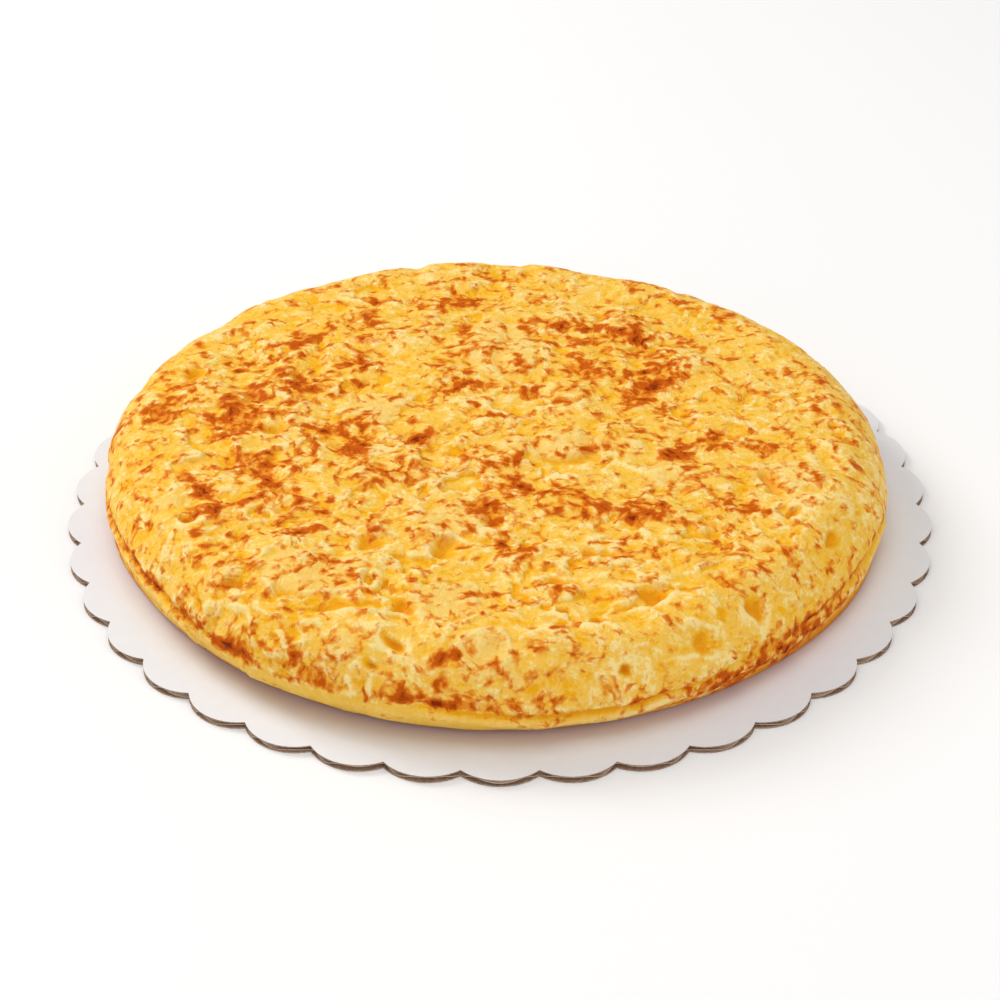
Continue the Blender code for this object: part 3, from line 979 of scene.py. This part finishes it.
class OmeletteCrust(bpy.types.PropertyGroup):
    """Colours of the omelette's crust."""

    egg: colour_property("Egg", "Set egg, the main colour", (0.93, 0.56, 0.085, 1))
    # Deep egg is also the painted shade in hollows and on steep slopes.
    deep_egg_and_shade: colour_property("Deep egg", "Egg in hollows and folds", (0.91, 0.455, 0.011, 1))
    # Pale egg is also the painted highlight on the fold ridges.
    pale_egg_and_highlight: colour_property("Pale egg", "Thin egg over potato", (0.97, 0.74, 0.30, 1))
    potato: colour_property("Potato", "Potato slices under the skin", (0.90, 0.63, 0.19, 1))
    # Toasted is also the painted shade in creases and on the underside by the board.
    toasted_and_shade: colour_property("Toasted", "The first film of browning", (0.78, 0.245, 0.016, 1))
    browned: colour_property("Browned", "Browned streaks and fragments", (0.58, 0.105, 0.004, 1))
    charred: colour_property("Charred", "The darkest cores", (0.24, 0.025, 0.001, 1))
    crumble: bpy.props.FloatProperty(
        name="Crumble", description="How far the browning breaks into fragments", default=3.0, min=0
    )


class OmeletteBoard(bpy.types.PropertyGroup):
    """Colours of the cake board."""

    facing: colour_property("Facing", "The white coated side", (0.80, 0.82, 0.86, 1))
    facing_shade: colour_property("Facing mottle", "Its faint mottle", (0.75, 0.77, 0.81, 1))
    kraft: colour_property("Kraft", "Raw brown paper", (0.50, 0.35, 0.25, 1))
    kraft_shade: colour_property("Dark kraft", "Darker fibres in the liners", (0.29, 0.19, 0.13, 1))
    kraft_light: colour_property("Light kraft", "Paler fibres in the waved paper", (0.60, 0.46, 0.35, 1))


class OmeletteStage(bpy.types.PropertyGroup):
    """The camera and the light."""

    elevation: bpy.props.FloatProperty(
        name="Elevation",
        description="How far the camera looks down",
        default=radians(33.98),
        subtype="ANGLE",
    )
    distance: bpy.props.FloatProperty(
        name="Distance",
        description="From the camera to the middle of the board",
        default=0.9238,
        unit="LENGTH",
    )
    lens: bpy.props.FloatProperty(
        name="Lens", description="Focal length in millimetres", default=94.97
    )
    daylight: strength_property("Daylight", "Strength of the light all round", 0.40)
    window: strength_property("Window", "Power of the large light at the back left", 21.5)
    ceiling: strength_property("Ceiling", "Power of the soft light overhead", 10.0)
    left_reflector: strength_property("Left reflector", "Power of the light at the front left", 2.8)
    right_reflector: strength_property("Right reflector", "Power of the light at the front right", 4.5)


class OMELETTE_OT_add_crust(bpy.types.Operator):
    """Add the omelette itself, with its relief and its browned crust"""

    bl_idname = "mesh.omelette_add_crust"
    bl_label = "Add Omelette"
    bl_options = {"REGISTER", "UNDO"}

    def execute(self, context):
        noise.seed_set(NOISE_SEED)
        crust = smooth_body()
        carve_body(crust)
        select_only(crust)
        bpy.ops.object.shade_smooth()
        crust.data.materials.append(crust_finish(context.scene.omelette_crust))
        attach(crust, "root")
        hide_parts("omelette")
        return {"FINISHED"}


class OMELETTE_OT_add_board(bpy.types.Operator):
    """Add the cake board: its white facing, waved paper and backing"""

    bl_idname = "mesh.omelette_add_board"
    bl_label = "Add Cake Board"
    bl_options = {"REGISTER", "UNDO"}

    def execute(self, context):
        settings = context.scene.omelette_board
        facing = add_plate("board_facing", BOARD_THICKNESS - LINER_THICKNESS, BOARD_THICKNESS)
        backing = add_plate("board_backing", 0, LINER_THICKNESS)
        flutes = add_flutes()
        backing_paper = kraft_finish(settings, "kraft_liner", settings.kraft_shade)
        facing.data.materials.append(facing_finish(settings))
        facing.data.materials.append(backing_paper)
        for face in facing.data.polygons:
            face.material_index = 0 if face.normal.z > 0.5 else 1
        backing.data.materials.append(backing_paper)
        flutes.data.materials.append(kraft_finish(settings, "kraft_medium", settings.kraft_light))
        for piece in (facing, flutes, backing):
            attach(piece, "root")
            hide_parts("cake_board")
        return {"FINISHED"}


class OMELETTE_OT_add_stage(bpy.types.Operator):
    """Add the floor, the soft lights and the camera"""

    bl_idname = "mesh.omelette_add_stage"
    bl_label = "Add Stage"
    bl_options = {"REGISTER", "UNDO"}

    def execute(self, context):
        settings = context.scene.omelette_stage
        add_floor()
        add_lights(settings)
        add_camera(settings)
        context.scene.view_settings.view_transform = "Standard"
        return {"FINISHED"}


def add_floor():
    """A plain pale floor."""
    deselect()
    bpy.ops.mesh.primitive_plane_add(size=FLOOR_SIZE, location=(0, 0, 0))
    floor = bpy.context.object
    floor.name = floor.data.name = "floor"
    finish = Finish("white_floor")
    finish.set("Base Color", FLOOR_COLOUR)
    finish.set("Roughness", 0.9)
    finish.set("Specular IOR Level", 0.0)
    finish.set("Emission Color", (1, 1, 1, 1))
    finish.set("Emission Strength", FLOOR_GLOW)
    floor.data.materials.append(finish.material)


def add_area_light(name, place, size, power):
    """A square light that faces the omelette."""
    light = bpy.data.lights.new(name, "AREA")
    light.size = size
    light.energy = power
    lamp = bpy.data.objects.new(name, light)
    lamp.location = place
    lamp.rotation_euler = (-Vector(place)).to_track_quat("-Z", "Y").to_euler()
    bpy.context.scene.collection.objects.link(lamp)


def add_lights(settings):
    """Faintly warm light all round, and the square lights."""
    world = bpy.data.worlds.new("studio")
    world.use_nodes = True
    background = world.node_tree.nodes["Background"]
    background.inputs["Color"].default_value = DAYLIGHT_COLOUR
    background.inputs["Strength"].default_value = settings.daylight
    bpy.context.scene.world = world
    for name, place, size in LIGHTS:
        add_area_light(name, place, size, getattr(settings, name))


def add_camera(settings):
    """The camera at the photo's angle."""
    data = bpy.data.cameras.new("camera")
    data.lens = settings.lens
    data.sensor_width = SENSOR_WIDTH
    camera = bpy.data.objects.new("camera", data)
    back = cos(settings.elevation) * settings.distance
    up = sin(settings.elevation) * settings.distance + BOARD_THICKNESS
    camera.location = (0, -back, up)
    aim = Vector((0, 0, AIM_HEIGHT)) - camera.location
    camera.rotation_euler = aim.to_track_quat("-Z", "Y").to_euler()
    bpy.context.scene.collection.objects.link(camera)
    bpy.context.scene.camera = camera


class OMELETTE_PT_panel(bpy.types.Panel):
    """Lists the pieces of the omelette"""

    bl_label = "Spanish Omelette"
    bl_idname = "OMELETTE_PT_panel"
    bl_space_type = "VIEW_3D"
    bl_region_type = "UI"
    bl_category = "Omelette"

    def draw(self, context):
        groups = (
            (OMELETTE_OT_add_crust, context.scene.omelette_crust),
            (OMELETTE_OT_add_board, context.scene.omelette_board),
            (OMELETTE_OT_add_stage, context.scene.omelette_stage),
        )
        for operator, settings in groups:
            box = self.layout.box()
            box.operator(operator.bl_idname)
            for name in settings.__annotations__:
                box.prop(settings, name)


GROUPS = {
    "omelette_crust": OmeletteCrust,
    "omelette_board": OmeletteBoard,
    "omelette_stage": OmeletteStage,
}
CLASSES = (
    *GROUPS.values(),
    OMELETTE_OT_add_crust,
    OMELETTE_OT_add_board,
    OMELETTE_OT_add_stage,
    OMELETTE_PT_panel,
)


def register():
    """Adds the operators, the panel and the settings."""
    for cls in CLASSES:
        bpy.utils.register_class(cls)
    for name, group in GROUPS.items():
        setattr(bpy.types.Scene, name, bpy.props.PointerProperty(type=group))


def unregister():
    """Takes them away again."""
    for name in GROUPS:
        delattr(bpy.types.Scene, name)
    for cls in reversed(CLASSES):
        bpy.utils.unregister_class(cls)


def main():
    """Builds every piece and the stage."""
    register()
    bpy.ops.mesh.omelette_add_crust()
    bpy.ops.mesh.omelette_add_board()
    bpy.ops.mesh.omelette_add_stage()


if __name__ == "__main__":
    main()
